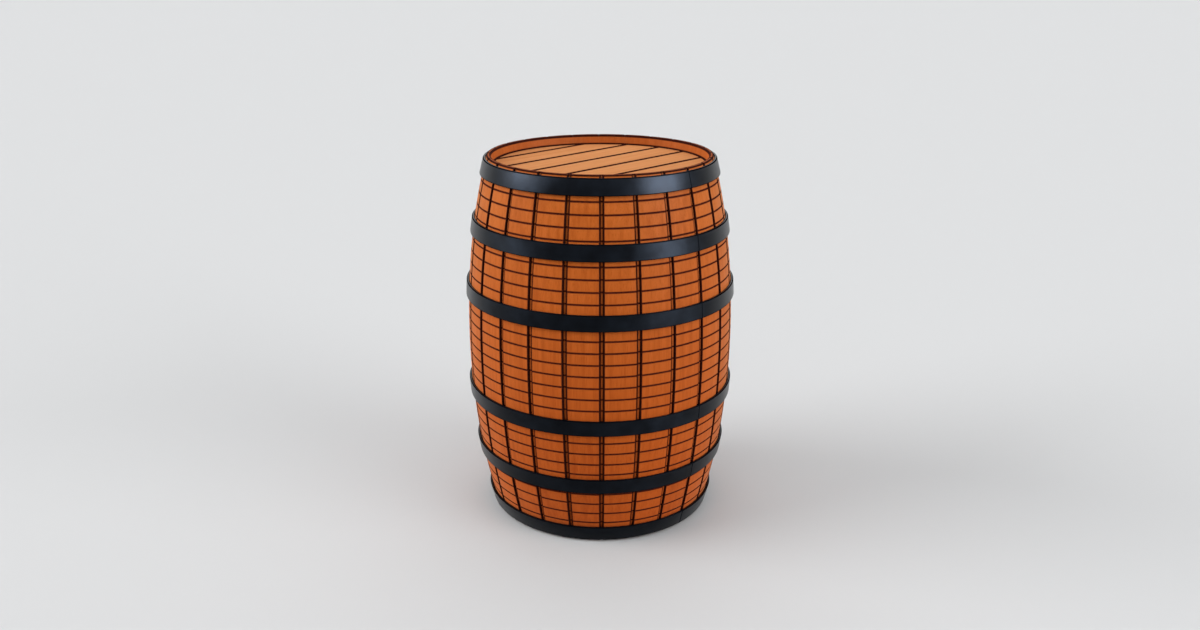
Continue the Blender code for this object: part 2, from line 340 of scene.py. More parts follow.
# Charred oak looks nearly black and swallows the light: the edge was held to the iron for longer.
CHARRED_OAK = burnt_oak("charred_oak", ("#1d0904", "#43170c"))
STAVE_FINISHES = [STAVE_OAK, SCORCHED_OAK, CHARRED_OAK, TOASTED_SHADED_OAK]
PLAIN, SCORCHED, CHARRED, TOASTED_SHADED = range(len(STAVE_FINISHES))
print("made", SCORCHED_OAK.name, "and", CHARRED_OAK.name)

# %% [markdown]
# ## The stave's bend
# A stave is bowed, so its radius grows from the ends to the bilge, the widest part. An arc of a circle
# would be too slim between the bilge and the ends, so the bend is a square law with a little fullness, as
# in the CAD model. These sizes repeat the CAD model's.

# %% Stave sizes
BILGE_RADIUS = 0.3292
END_RADIUS = 0.2721
BILGE_FULLNESS = 0.118
STAVE_COUNT = 24
STAVE_THICKNESS = 0.020


def outer_radius(distance):
    """Radius of the stave's face at a distance from the nearer end."""
    share = 1 - distance / (HEIGHT / 2)
    bend = share ** 2 * (1 - BILGE_FULLNESS * (1 - share ** 2))
    return BILGE_RADIUS - (BILGE_RADIUS - END_RADIUS) * bend


def inner_radius(distance):
    """Radius of the stave's inside."""
    return outer_radius(distance) - STAVE_THICKNESS


print("bilge", round(2 * BILGE_RADIUS, 3), "m, end", round(2 * END_RADIUS, 3), "m across")

# %% [markdown]
# ## Carrying a cross-section up the barrel
# The stave could be spun about the barrel's axis, but then its two grooves would need a cut. Instead its
# cross-section, grooves and all, is drawn once as a face and extruded upward station by station. At each
# station the new face is fitted to the bend, and a station in the middle of a score line sits a little
# deeper. On the inside the stations follow the chime, the thin end that stands past the head, and then
# the croze, the groove that holds the head.

# %% End of a stave
CHIME_RIM_WIDTH = 0.009
END_CHAMFER = 0.001
HEAD_RECESS = 0.0245
HEAD_EDGE_THICKNESS = 0.009
CROZE_DEPTH = 0.006
FIT = 0.0003
BAND_COUNT = 32
BAND = HEIGHT / BAND_COUNT
# Where the outside is carried along, as shares of the first band, while the inside turns its corners.
FIRST_BAND_SHARES = (0.4, 0.5, 0.6, 0.8)
BELOW_CROZE = 1.4 * BAND
SCORE_HALF_WIDTH = 0.002
SCORE_DEPTH = 0.0012
RIM_FACE_CHAR = 0.0022
WALL_TOP_CHAR = 0.0042
WALL_FOOT_CHAR = 0.003
HALO = 0.0016


def end_stations():
    """Stations from the rim to just past the first score line.

    Each holds the outer distance from the end, how far the face is sunk there, the inner distance and
    radius, and the finish of the outside and of the inside on the way to the next station.
    """
    upper_lip = HEAD_RECESS - FIT
    lower_lip = HEAD_RECESS + HEAD_EDGE_THICKNESS + FIT
    rim = END_RADIUS - CHIME_RIM_WIDTH
    lip = inner_radius(upper_lip)
    croze = inner_radius(HEAD_RECESS) + CROZE_DEPTH

    def wall(distance):
        return rim + (lip - rim) * distance / upper_lip

    face_edge = END_CHAMFER + RIM_FACE_CHAR
    wall_edge = END_CHAMFER + WALL_TOP_CHAR
    foot = upper_lip - WALL_FOOT_CHAR
    first, second, third, fourth = (share * BAND for share in FIRST_BAND_SHARES)
    # Inside the chime the toasted finish also carries painted shade.
    return [
        (0.0, END_CHAMFER, 0.0, rim + END_CHAMFER, CHARRED, CHARRED),
        (END_CHAMFER, 0.0, END_CHAMFER, wall(END_CHAMFER), CHARRED, CHARRED),
        (face_edge, 0.0, wall_edge, wall(wall_edge), PLAIN, TOASTED_SHADED),
        (face_edge + HALO, 0.0, wall_edge + HALO, wall(wall_edge + HALO), PLAIN, TOASTED_SHADED),
        (first, 0.0, foot - HALO, wall(foot - HALO), PLAIN, TOASTED_SHADED),
        (second, 0.0, foot, wall(foot), PLAIN, CHARRED),
        (third, 0.0, upper_lip, lip, PLAIN, TOASTED_SHADED),
        (fourth, 0.0, upper_lip, croze, PLAIN, TOASTED_SHADED),
        (BAND - SCORE_HALF_WIDTH, 0.0, lower_lip, croze, SCORCHED, TOASTED_SHADED),
        (BAND, SCORE_DEPTH, lower_lip, inner_radius(lower_lip), SCORCHED, TOASTED_SHADED),
        (BAND + SCORE_HALF_WIDTH, 0.0, BELOW_CROZE, inner_radius(BELOW_CROZE), PLAIN, TOASTED_SHADED),
    ]


print(len(end_stations()), "stations at each end, one score line every", round(1000 * BAND, 1), "mm")

# %% [markdown]
# The rest of a stave is plain: five stations for each score line, of which the middle one is sunk and the
# outer two end the brown halo. The upper half is the lower half turned over, so it isn't written twice.

# %% Stave stations
def half_stations():
    """Stations from one end to the middle."""
    stations = end_stations()
    edge = SCORE_HALF_WIDTH
    for line in range(2, BAND_COUNT // 2 + 1):
        for offset in (-edge - HALO, -edge, 0.0, edge, edge + HALO):
            distance = line * BAND + offset
            sink = 0.0 if offset else SCORE_DEPTH
            finish = SCORCHED if -edge <= offset <= 0.0 else PLAIN
            if distance <= HEIGHT / 2:
                stations.append((distance, sink, distance, inner_radius(distance), finish, TOASTED_SHADED))
    return stations


def whole_stations():
    """Stations from the bottom end to the top end, as radii and heights, with the finishes after each."""
    half = half_stations()
    rows = []
    for outer, sink, inner, radius, outside, inside in half:
        rows.append((outer_radius(outer) - sink, outer, radius, inner, outside, inside))
    for index in range(len(half) - 2, -1, -1):
        outer, sink, inner, radius = half[index][:4]
        finishes = half[max(index - 1, 0)][4:]
        rows.append((outer_radius(outer) - sink, HEIGHT - outer, radius, HEIGHT - inner, *finishes))
    return rows


STATIONS = whole_stations()
print(len(STATIONS), "stations up a stave")

# %% [markdown]
# ## The cross-section
# Each stave is rebated along both edges, so two of them together make a square groove. The cross-section
# is a list of corners, each with its kind, its angle about the barrel's axis and the finish on the way to
# the next corner. Narrow steps beside the groove carry the charred edge and the brown halo.

# %% Cross-section of a stave
GROOVE_WIDTH = 0.0074
GROOVE_DEPTH = 0.004
ARRIS = 0.0012
EDGE_CHAR = 0.0017
FLOOR_CHAR = 0.0014
FACE_STEPS = 8
INSIDE_STEPS = 6
HALF_STAVE = math.pi / STAVE_COUNT
JOINT_ANGLE = HALF_STAVE - FIT / 2 / BILGE_RADIUS
GROOVE_ANGLE = HALF_STAVE - GROOVE_WIDTH / 2 / BILGE_RADIUS
FACE_ANGLE = GROOVE_ANGLE - ARRIS / BILGE_RADIUS
STRIP_ANGLE = FACE_ANGLE - EDGE_CHAR / BILGE_RADIUS
HALO_ANGLE = STRIP_ANGLE - HALO / BILGE_RADIUS
FLOOR_ANGLE = GROOVE_ANGLE + FLOOR_CHAR / BILGE_RADIUS
SUNK = {"face": 0.0, "lip": ARRIS, "floor": GROOVE_DEPTH}


def even_angles(first, last, steps):
    """Evenly spread angles, both ends included."""
    return [first + (last - first) * step / steps for step in range(steps + 1)]


SECTION = [
    ("floor", -JOINT_ANGLE, PLAIN), ("floor", -FLOOR_ANGLE, CHARRED), ("floor", -GROOVE_ANGLE, CHARRED),
    ("lip", -GROOVE_ANGLE, CHARRED), ("face", -FACE_ANGLE, CHARRED), ("face", -STRIP_ANGLE, PLAIN),
    *(("face", angle, PLAIN) for angle in even_angles(-HALO_ANGLE, HALO_ANGLE, FACE_STEPS)),
    ("face", STRIP_ANGLE, CHARRED), ("face", FACE_ANGLE, CHARRED), ("lip", GROOVE_ANGLE, CHARRED),
    ("floor", GROOVE_ANGLE, CHARRED), ("floor", FLOOR_ANGLE, PLAIN), ("floor", JOINT_ANGLE, PLAIN),
    *(("inside", angle, PLAIN) for angle in even_angles(JOINT_ANGLE, -JOINT_ANGLE, INSIDE_STEPS)),
]
print(len(SECTION), "corners,", round(1000 * 2 * BILGE_RADIUS * HALF_STAVE, 1), "mm from joint to joint")

# %% [markdown]
# A corner and a station together give a point in space. A face lies between two corners and two stations,
# and takes the darker finish of the two directions: a score line round the barrel or a charred edge up
# it.

# %% Corner places and finishes
def corner_place(corner, station):
    """Where a corner of the cross-section lies at a station."""
    kind, angle, _ = SECTION[corner]
    face_radius, height, inside_radius, inside_height = STATIONS[station][:4]
    if kind == "inside":
        radius, height = inside_radius, inside_height
    else:
        radius = face_radius - SUNK[kind]
    return Vector((radius * math.cos(angle), radius * math.sin(angle), height))


def face_finish(corners, stations):
    """The finish of a face between two corners and two stations."""
    outside, inside = STATIONS[min(stations)][4:]
    kinds = {SECTION[corner][0] for corner in corners}
    if kinds == {"inside"}:
        return inside
    if "inside" in kinds:
        return PLAIN
    return max(outside, SECTION[min(corners)][2])


print("first corner at", [round(value, 4) for value in corner_place(0, 0)])

# %% [markdown]
# ## The end of a stave
# The rim of the barrel is the end grain of all the staves. Each end is toasted in the middle and charred
# along its edges. An inset makes a strip of even width round a face, which is just that. The grooves'
# floors are cut off first, because the end is charred all over beside a joint.

# %% Charred rim
RIM_CHAR = 0.0018
TOUCH = 0.00001


def and_outlines(faces):
    """The faces with their edges and vertices, as the bisect operator wants them."""
    return list({item for face in faces for item in (*face.verts, *face.edges, face)})


def rim_land(bm, station_of):
    """The flat faces at the two ends of the stave."""
    return [face for face in bm.faces if len({vert[station_of] for vert in face.verts}) == 1]


def char_rim_land(bm, station_of):
    """Char the land beside each joint and a strip along its other edges, and give the middles."""
    for side in (-1, 1):
        across = (-math.sin(side * GROOVE_ANGLE), math.cos(side * GROOVE_ANGLE), 0)
        geometry = and_outlines(rim_land(bm, station_of))
        bmesh.ops.bisect_plane(bm, geom=geometry, dist=TOUCH, plane_co=(0, 0, 0), plane_no=across)
    land = rim_land(bm, station_of)
    places = [face.calc_center_median() for face in land]
    middles = [face for face, at in zip(land, places) if abs(math.atan2(at.y, at.x)) < GROOVE_ANGLE]
    bm.normal_update()
    inset = bmesh.ops.inset_region(bm, faces=middles, thickness=RIM_CHAR, use_even_offset=True)
    for face in (*land, *inset["faces"]):
        face.material_index = TOASTED_SHADED if face in middles else CHARRED
    return middles


print("the rim is charred", 1000 * RIM_CHAR, "mm wide")

# %% [markdown]
# ## One stave
# Whole numbers kept on the vertices say which corner and which station they belong to, and the extrusion
# copies them. The finish of every side face is then found from those numbers, not guessed from its place.
# All staves are alike, so one mesh is made, on the side of +X.

# %% One stave
# The end grain of the rim is browned all over, a little more than the face is beside a line.
LAND_HALO = 1.2


def to_mesh(bm, name):
    """Turn a finished bmesh into a mesh, with its faces outward."""
    bmesh.ops.recalc_face_normals(bm, faces=bm.faces)
    mesh = bpy.data.meshes.new(name)
    bm.to_mesh(mesh)
    bm.free()
    return mesh


def stave_mesh():
    """One stave on +X, with its finishes as material numbers."""
    bm = bmesh.new()
    corner_of = bm.verts.layers.int.new("corner")
    station_of = bm.verts.layers.int.new("station")
    halo = bm.verts.layers.float.new("halo")
    first = [bm.verts.new(corner_place(corner, 0)) for corner in range(len(SECTION))]
    for corner, vert in enumerate(first):
        vert[corner_of] = corner
    bottom = top = bm.faces.new(first)
    for station in range(1, len(STATIONS)):
        grown = bmesh.ops.extrude_face_region(bm, geom=[top])["geom"]
        if top is not bottom:
            bm.faces.remove(top)
        top = next(item for item in grown if isinstance(item, bmesh.types.BMFace))
        for vert in top.verts:
            vert[station_of] = station
            vert.co = corner_place(vert[corner_of], station)
    for face in bm.faces:
        corners = {vert[corner_of] for vert in face.verts}
        stations = {vert[station_of] for vert in face.verts}
        if len(stations) == 2:
            face.material_index = face_finish(corners, stations)
    middles = char_rim_land(bm, station_of)
    for vert in bm.verts:
        vert[halo] = float(any(face.material_index in (SCORCHED, CHARRED) for face in vert.link_faces))
    for face in middles:
        for vert in face.verts:
            vert[halo] = LAND_HALO
    return to_mesh(bm, "stave")


plain_stave = stave_mesh()
print("stave:", len(plain_stave.polygons), "faces")

# %% [markdown]
# ## Cutting one mesh by another
# A hole through a curved stave, or a board out of a round head, is quickest with a Boolean, the mesh
# editor's saw and auger. The modifier needs objects, so the function makes two for a moment, reads the
# result back as a mesh and removes them.

# %% Boolean helper
def cut_by(blank, operation, tool):
    """A blank mesh after a Boolean with a tool mesh."""
    work = bpy.data.objects.new("work", blank)
    helper = bpy.data.objects.new("tool", tool)
    for item in (work, helper):
        bpy.context.scene.collection.objects.link(item)
    cut = work.modifiers.new("cut", "BOOLEAN")
    cut.operation = operation
    cut.solver = "EXACT"
    cut.object = helper
    depsgraph = bpy.context.evaluated_depsgraph_get()
    mesh = bpy.data.meshes.new_from_object(work.evaluated_get(depsgraph))
    for item in (work, helper):
        bpy.data.objects.remove(item, do_unlink=True)
    print(blank.name, "cut by", tool.name + ":", len(mesh.polygons), "faces")
    return mesh


# %% [markdown]
# ## The bung hole
# One stave has a tapered hole bored through its bilge, where the cask is filled. The cooper uses a taper
# auger, and here a cone does the same. The CAD stave's face has three flat facets, and the hole's taper
# is measured from the middle one.

# %% Bored stave
bung_low, bung_high = (Vector(corner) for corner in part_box("bung"))
BUNG_HEIGHT = (bung_low.z + bung_high.z) / 2
BUNG_RADIUS = 0.025
BUNG_TAPER = 0.045
BUNG_STEPS = 96
CAD_FACETS = 3
STAVE_FLAT = BILGE_RADIUS * math.cos(JOINT_ANGLE / CAD_FACETS)
BORE_REACH = 0.04


def bung_cone_radius(outward):
    """Radius of the bung hole at a distance outside the stave's face."""
    return BUNG_RADIUS + BUNG_TAPER * outward


def auger_mesh():
    """The cone of the bung hole, in the stave on +X."""
    bm = bmesh.new()
    bmesh.ops.create_cone(
        bm, cap_ends=True, segments=BUNG_STEPS, depth=2 * BORE_REACH,
        radius1=bung_cone_radius(-BORE_REACH), radius2=bung_cone_radius(BORE_REACH),
    )
    stand = Matrix.Translation((STAVE_FLAT, 0, BUNG_HEIGHT)) @ Matrix.Rotation(math.pi / 2, 4, "Y")
    bmesh.ops.transform(bm, matrix=stand, verts=bm.verts)
    return to_mesh(bm, "auger")


bung_stave = cut_by(plain_stave, "DIFFERENCE", auger_mesh())

# %% [markdown]
# ## Adding a piece
# Every piece of the barrel goes through one function. It smooths the round faces but keeps creases sharp,
# stores the piece's tone, makes it ride on its CAD body and hides the CAD node that it stands for.

# %% Piece helper
CREASE = math.radians(20)
EVEN_TONE = 0.5
TONE_SEED = 11
chance = random.Random(TONE_SEED)


def add_piece(name, mesh, materials, node, tone=EVEN_TONE):
    """Show a mesh in place of a CAD node."""
    mesh.name = name
    for material in materials:
        mesh.materials.append(material)
    mesh.shade_smooth()
    mesh.set_sharp_from_angle(angle=CREASE)
    values = mesh.attributes.new("tone", "FLOAT", "POINT")
    values.data.foreach_set("value", [tone] * len(mesh.vertices))
    piece = bpy.data.objects.new(name, mesh)
    bpy.context.scene.collection.objects.link(piece)
    body = next(body for body, nodes in frame["record"]["behaviour"]["bodies"].items() if node in nodes)
    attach(piece, body)
    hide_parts(node)
    return piece


print("creases sharper than", round(math.degrees(CREASE)), "degrees stay sharp")

# %% [markdown]
# ## Setting the staves up
# A cooper raises the staves one by one inside a hoop. Here they are copies of one mesh, turned about the
# barrel's axis. The turn goes into the mesh and not into the object, because the export puts every object
# back unturned, and its pattern would turn. The first stave is the bored one, at the back.

# %% All staves
for index in range(STAVE_COUNT):
    node = f"stave_{index + 1:02d}"
    mesh = (plain_stave if index else bung_stave).copy()
    mesh.transform(Matrix.Rotation(math.pi / 2 + index * 2 * HALF_STAVE, 4, "Z"))
    add_piece("oak_" + node, mesh, STAVE_FINISHES, node, chance.random())
print(STAVE_COUNT, "staves")

# %% [markdown]
# ## Blued steel for the hoops
# Hoops are hot-rolled strip, left with its blue-black mill scale. It reflects like a metal, but darkly,
# and the scale is uneven, so the gloss changes in soft patches. Rolling leaves fine lines along the
# strip, which smear a highlight across them. A photograph of steel could be wrapped round the band, but
# two noises and the shader's own anisotropy give the same smear without an image.

# %% Blued steel
# Rolling lines are a few hundredths of a millimetre apart, too fine to show, so they are drawn far coarser.
ROLL_LINE_MM = 1.5
ROLL_STRETCH = (0.02, 0.02, 1.0)
ROLL_RELIEF = 0.0003
ROLL_RELIEF_STRENGTH = 0.2
SCALE_PATCH_MM = 45.0
SCALE_DETAIL = 4.0
SCALE_STOPS = (0.3, 0.7)
SCALE_GLOSS = 0.07
SMEAR = 0.42
QUARTER_TURN = 0.25


def blued_steel(name, colours, roughness, grazing):
    """Dark metal with rolling lines round the barrel and patches of scale."""
    material, tree, shader = new_material(name)
    place = add(tree, "ShaderNodeTexCoord")
    rolled = add(tree, "ShaderNodeMapping", None, {
        "Vector": place.outputs["Object"], "Scale": ROLL_STRETCH,
    })
    lines = add(tree, "ShaderNodeTexNoise", None, {
        "Vector": rolled.outputs["Vector"], "Scale": per_mm(ROLL_LINE_MM),
    })
    patch = add(tree, "ShaderNodeTexNoise", None, {
        "Vector": place.outputs["Object"], "Scale": per_mm(SCALE_PATCH_MM), "Detail": SCALE_DETAIL,
    })
    stops = [(position, linear(colour)) for position, colour in zip(SCALE_STOPS, colours)]
    ramp = add(tree, "ShaderNodeValToRGB", None, {"Fac": patch.outputs["Fac"]}, stops)
    gloss = add(tree, "ShaderNodeMath", {"operation": "MULTIPLY_ADD"}, {
        0: patch.outputs["Fac"], 1: 2 * SCALE_GLOSS, 2: roughness - SCALE_GLOSS,
    })
    relief = add(tree, "ShaderNodeBump", None, {
        "Strength": ROLL_RELIEF_STRENGTH, "Distance": ROLL_RELIEF, "Height": lines.outputs["Fac"],
    })
    feed(shader, {
        "Base Color": ramp.outputs["Color"],
        "Roughness": gloss.outputs["Value"],
        "Normal": relief.outputs["Normal"],
        "Metallic": 1.0,
        "Specular Tint": linear(grazing),
        "Anisotropic": SMEAR,
        "Anisotropic Rotation": QUARTER_TURN,
    })
    return material


# Blued steel looks nearly black from the front, and shines in soft upright bands.
HOOP_STEEL = blued_steel("blued_hoop_steel", ("#121418", "#191d23"), 0.36, "#ffffff")
# A sheared and filed edge has lost its gloss, so it looks like a dark line along the band.
HOOP_EDGE_STEEL = blued_steel("sheared_edge_steel", ("#07090d", "#0b0e13"), 0.6, "#3c4046")
HOOP_FINISHES = [HOOP_STEEL, HOOP_EDGE_STEEL]
EDGE = HOOP_FINISHES.index(HOOP_EDGE_STEEL)
print("made", HOOP_STEEL.name, "and", HOOP_EDGE_STEEL.name)

# %% [markdown]
# ## The weld of a hoop
# A hoop is one strip, bent round and joined at its ends. The join is dressed flush and shows as a fine
# upright line. Two cuts beside the band's first column of vertices leave a narrow strip there, and moving
# that column inward makes the strip a shallow V.

# %% Weld line
HOOP_THICKNESS = 0.0067
SEAM_HALF_WIDTH = 0.0014
SEAM_DEPTH = 0.0010
SEAM_ZONE = 0.02


def cut_weld_line(bm, middle_radius):
    """Cut the weld's shallow V into the outside of a band, on +X."""
    for side in (-1, 1):
        places = [(face, face.calc_center_median()) for face in bm.faces]
        near = [face for face, at in places if at.x > 0 and abs(at.y) < SEAM_ZONE]
        bmesh.ops.bisect_plane(
            bm, geom=and_outlines(near), dist=TOUCH,
            plane_co=(0, side * SEAM_HALF_WIDTH, 0), plane_no=(0, 1, 0),
        )
    for vert in bm.verts:
        if vert.co.x > middle_radius - HOOP_THICKNESS / 4 and abs(vert.co.y) < TOUCH:
            vert.co.x -= SEAM_DEPTH
    for face in bm.faces:
        at = face.calc_center_median()
        if at.x > 0 and abs(at.y) < SEAM_HALF_WIDTH and math.hypot(at.x, at.y) > middle_radius:
            face.material_index = EDGE


print("weld line", 2000 * SEAM_HALF_WIDTH, "mm wide")

# %% [markdown]
# ## Turning a profile
# Hoops, heads and the bung are all round, so one function spins a profile about Z, as a lathe turns a
# blank. A full spin merges its last column with the first. A profile that starts on the axis leaves many
# points in one place there, and they are merged too.

# %% Lathe helper
def spun(profile, steps, closed=False):
    """A bmesh with a profile of radii and heights, spun once about Z."""
    bm = bmesh.new()
    verts = [bm.verts.new((radius, 0, height)) for radius, height in profile]
    ends = verts[1:] + verts[:1] if closed else verts[1:]
    edges = [bm.edges.new(pair) for pair in zip(verts, ends)]
    bmesh.ops.spin(
        bm, geom=verts + edges, axis=(0, 0, 1), cent=(0, 0, 0),
        angle=math.tau, steps=steps, use_merge=True,
    )
    bmesh.ops.remove_doubles(bm, verts=bm.verts, dist=TOUCH)
    bmesh.ops.recalc_face_normals(bm, faces=bm.faces)
    return bm


print("a spin merges points nearer than", 1000 * TOUCH, "mm")

# %% [markdown]
# ## Hoops
# A hoop is a conical band that wedges itself on the taper of the staves. Here it is a rectangle that
# leans with the staves, spun all the way round. A cylinder with a solid wall would do too, but would have
# to be tapered afterwards. The corners are bevelled, because sheared strip is dressed before it is bent.

# %% One hoop
HOOP_STEPS = 240
HOOP_EDGE = 0.0020
HOOP_EDGE_SEGMENTS = 2
SQUARE_CORNER = math.radians(45)
SEAM_ANGLE = math.radians(51.75) - math.pi / 2


def hoop_mesh(node):
    """The hoop of a CAD node: a bevelled conical band with its weld line."""
    low, high = (corner[2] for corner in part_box(node))
    rings = [(outer_radius(min(height, HEIGHT - height)) + FIT, height) for height in (low, high)]
    outside = [(radius + HOOP_THICKNESS, height) for radius, height in rings]
    bm = spun(outside + rings[::-1], HOOP_STEPS, closed=True)
    sharp = [edge for edge in bm.edges if edge.calc_face_angle() > SQUARE_CORNER]
    dressed = bmesh.ops.bevel(
        bm, geom=sharp, offset=HOOP_EDGE, offset_type="OFFSET", segments=HOOP_EDGE_SEGMENTS, profile=0.5,
        affect="EDGES", material=-1,
    )
    for face in dressed["faces"]:
        face.material_index = EDGE
    cut_weld_line(bm, sum(radius for radius, _ in rings) / 2 + HOOP_THICKNESS / 2)
    bmesh.ops.rotate(bm, verts=bm.verts, cent=(0, 0, 0), matrix=Matrix.Rotation(SEAM_ANGLE, 3, "Z"))
    return to_mesh(bm, node)


print("hoop edges rounded by", 1000 * HOOP_EDGE, "mm")

# %% [markdown]
# The chime hoops hold the heads, the quarter and bilge hoops close the staves. Their heights come from
# the CAD nodes, and all their welds stand above one another, as in the photograph.

# %% All hoops
for place in ("chime", "quarter", "bilge"):
    for end in ("bottom", "top"):
        node = f"hoop_{place}_{end}"
        piece = add_piece("steel_" + node, hoop_mesh(node), HOOP_FINISHES, node)
print("six hoops,", len(piece.data.polygons), "faces each")

# %% [markdown]
# ## Oak for the heads
# The heads are oak boards that are planed last and left without oil, so they are smoother than the staves
# and quite matt. Their colour is paler than the staves', as painted light: it is a lit copy of the same
# oak, for a head that faces up into the light. Their grain runs along the boards, so the pattern is turned
# to the boards' direction. The bottom head is the same head turned over, and so is its pattern.

# %% Planed oak
BOARD_ANGLE = math.radians(51.75)
# Painted light: these colours are a paler, lit copy of the staves' oak.
LIT_HEAD_COLOURS = ("#be7947", "#cc8a57", "#d0915e")
# Planed oak looks dry, with its streaks drawn straight along each board. Its pale colour is painted light.
LIT_HEAD_OAK_TOP = oak("lit_planed_oak_top", LIT_HEAD_COLOURS, "X", 0.6, 0.01, turn=-BOARD_ANGLE)
LIT_HEAD_OAK_BOTTOM = oak("lit_planed_oak_bottom", LIT_HEAD_COLOURS, "X", 0.6, 0.01, turn=BOARD_ANGLE)
print("made", LIT_HEAD_OAK_TOP.name, "and", LIT_HEAD_OAK_BOTTOM.name)

# %% [markdown]
# ## The whole head
# A cooper joins the boards with tongues and grooves, then saws the head round and bevels its edge. Here
# it goes the other way: the whole head is turned first, as on a lathe, with the thin edge that sits in
# the croze. The boards then come out of it, so their round ends fit each other without more work.

# %% Whole head
HEAD_THICKNESS = 0.022
HEAD_BEVEL_WIDTH = 0.018
HEAD_STEPS = 180
RING_CHAR = 0.009
HEAD_RADIUS = inner_radius(HEAD_RECESS) + CROZE_DEPTH - FIT


def head_mesh():
    """Turn the head about Z, its outer face at height zero and charred in a ring along the edge."""
    seat = inner_radius(HEAD_RECESS) - FIT
    bm = spun([
        (0, 0), (HEAD_RADIUS - RING_CHAR, 0), (HEAD_RADIUS, 0), (HEAD_RADIUS, -HEAD_EDGE_THICKNESS),
        (seat, -HEAD_EDGE_THICKNESS), (seat - HEAD_BEVEL_WIDTH, -HEAD_THICKNESS), (0, -HEAD_THICKNESS),
    ], HEAD_STEPS)
    for face in bm.faces:
        at = face.calc_center_median()
        on_ring = abs(at.z) < TOUCH and math.hypot(at.x, at.y) > HEAD_RADIUS - RING_CHAR
        face.material_index = CHARRED if on_ring else PLAIN
    return to_mesh(bm, "head")


whole_head = head_mesh()
print("head", round(2 * HEAD_RADIUS, 4), "m across")

# %% [markdown]
# ## The section of a board
# A board has a tongue on one side and a groove on the other, and the outer edge of each joint is
# chamfered, so that the joint is a dark V. The section is drawn as an outline and extruded to a slab that
# is longer than the head. A side without a joint runs past the head's edge too. Planks with plain sides
# would look the same from outside, but wouldn't hold together.

# %% Slab with a board's section
JOINT_CHAMFER = 0.0028
TONGUE_LENGTH = 0.006
TONGUE_THICKNESS = 0.006
TONGUE_TOP = 0.007
PAST_RIM = 0.005


def board_outline(left, right):
    """Cross-section of a board, with a tongue on its right and a groove on its left."""
    far = HEAD_RADIUS + PAST_RIM
    below = -HEAD_THICKNESS - PAST_RIM
    tongue_foot = TONGUE_TOP + TONGUE_THICKNESS
    outline = []
    if right is None:
        outline += [(far, PAST_RIM), (far, below)]
    else:
        side = right - FIT / 2
        tip = side + TONGUE_LENGTH
        outline += [(side - JOINT_CHAMFER - PAST_RIM, PAST_RIM), (side, -JOINT_CHAMFER)]
        outline += [(side, -TONGUE_TOP), (tip, -TONGUE_TOP), (tip, -tongue_foot)]
        outline += [(side, -tongue_foot), (side, below)]
    if left is None:
        outline += [(-far, below), (-far, PAST_RIM)]
    else:
        side = left + FIT / 2
        bottom = side + TONGUE_LENGTH
        outline += [(side, below), (side, -tongue_foot - FIT), (bottom, -tongue_foot - FIT)]
        outline += [(bottom, -TONGUE_TOP + FIT), (side, -TONGUE_TOP + FIT)]
        outline += [(side, -JOINT_CHAMFER), (side + JOINT_CHAMFER + PAST_RIM, PAST_RIM)]
    return outline


def slab_mesh(left, right):
    """A board's cross-section, extruded along Y past the rim."""
    reach = HEAD_RADIUS + PAST_RIM
    bm = bmesh.new()
    corners = [bm.verts.new((across, -reach, height)) for across, height in board_outline(left, right)]
    grown = bmesh.ops.extrude_face_region(bm, geom=[bm.faces.new(corners)])["geom"]
    moved = [item for item in grown if isinstance(item, bmesh.types.BMVert)]
    bmesh.ops.translate(bm, verts=moved, vec=(0, 2 * reach, 0))
    return to_mesh(bm, "slab")


print("tongues", 1000 * TONGUE_LENGTH, "mm long, chamfers", 1000 * JOINT_CHAMFER, "mm wide")

# %% [markdown]
# ## Head boards
# The slab takes a board out of the turned head. A strip beside each joint is then parted off on the outer
# face and charred together with the chamfer. The Boolean leaves the flat faces in many pieces, so a
# limited dissolve joins them first, but not across a change of finish.

# %% One head board
JOINT_CHAR = 0.0066
FLAT_LIMIT = math.radians(0.5)


def char_joint(bm, edge, side):
    """Char the chamfer of a joint and a narrow strip of the outer face beside it."""
    strip_edge = edge + side * JOINT_CHAR
    outer = [face for face in bm.faces if abs(face.calc_center_median().z) < TOUCH]
    bmesh.ops.bisect_plane(
        bm, geom=and_outlines(outer), dist=TOUCH, plane_co=(strip_edge, 0, 0), plane_no=(1, 0, 0),
    )
    for face in bm.faces:
        at = face.calc_center_median()
        if at.z > -JOINT_CHAMFER and side * (at.x - strip_edge) < 0:
            face.material_index = CHARRED


def board_mesh(left, right):
    """One board between two joints, across X and along Y, its outer face at height zero."""
    bm = bmesh.new()
    bm.from_mesh(cut_by(whole_head, "INTERSECT", slab_mesh(left, right)))
    bmesh.ops.dissolve_limit(
        bm, angle_limit=FLAT_LIMIT, verts=bm.verts, edges=bm.edges, delimit={"MATERIAL"},
    )
    for joint, side in ((left, 1), (right, -1)):
        if joint is not None:
            char_joint(bm, joint + side * FIT / 2, side)
    bmesh.ops.remove_doubles(bm, verts=bm.verts, dist=TOUCH)
    return to_mesh(bm, "board")


print("joints charred", 1000 * JOINT_CHAR, "mm to each side")

# %% [markdown]
# Both heads have seven boards: five full ones, and an edge board on each side that is cut short by the
# round. The top head is lifted to its croze. The bottom head is turned over about X, so that its outer
# face looks down.

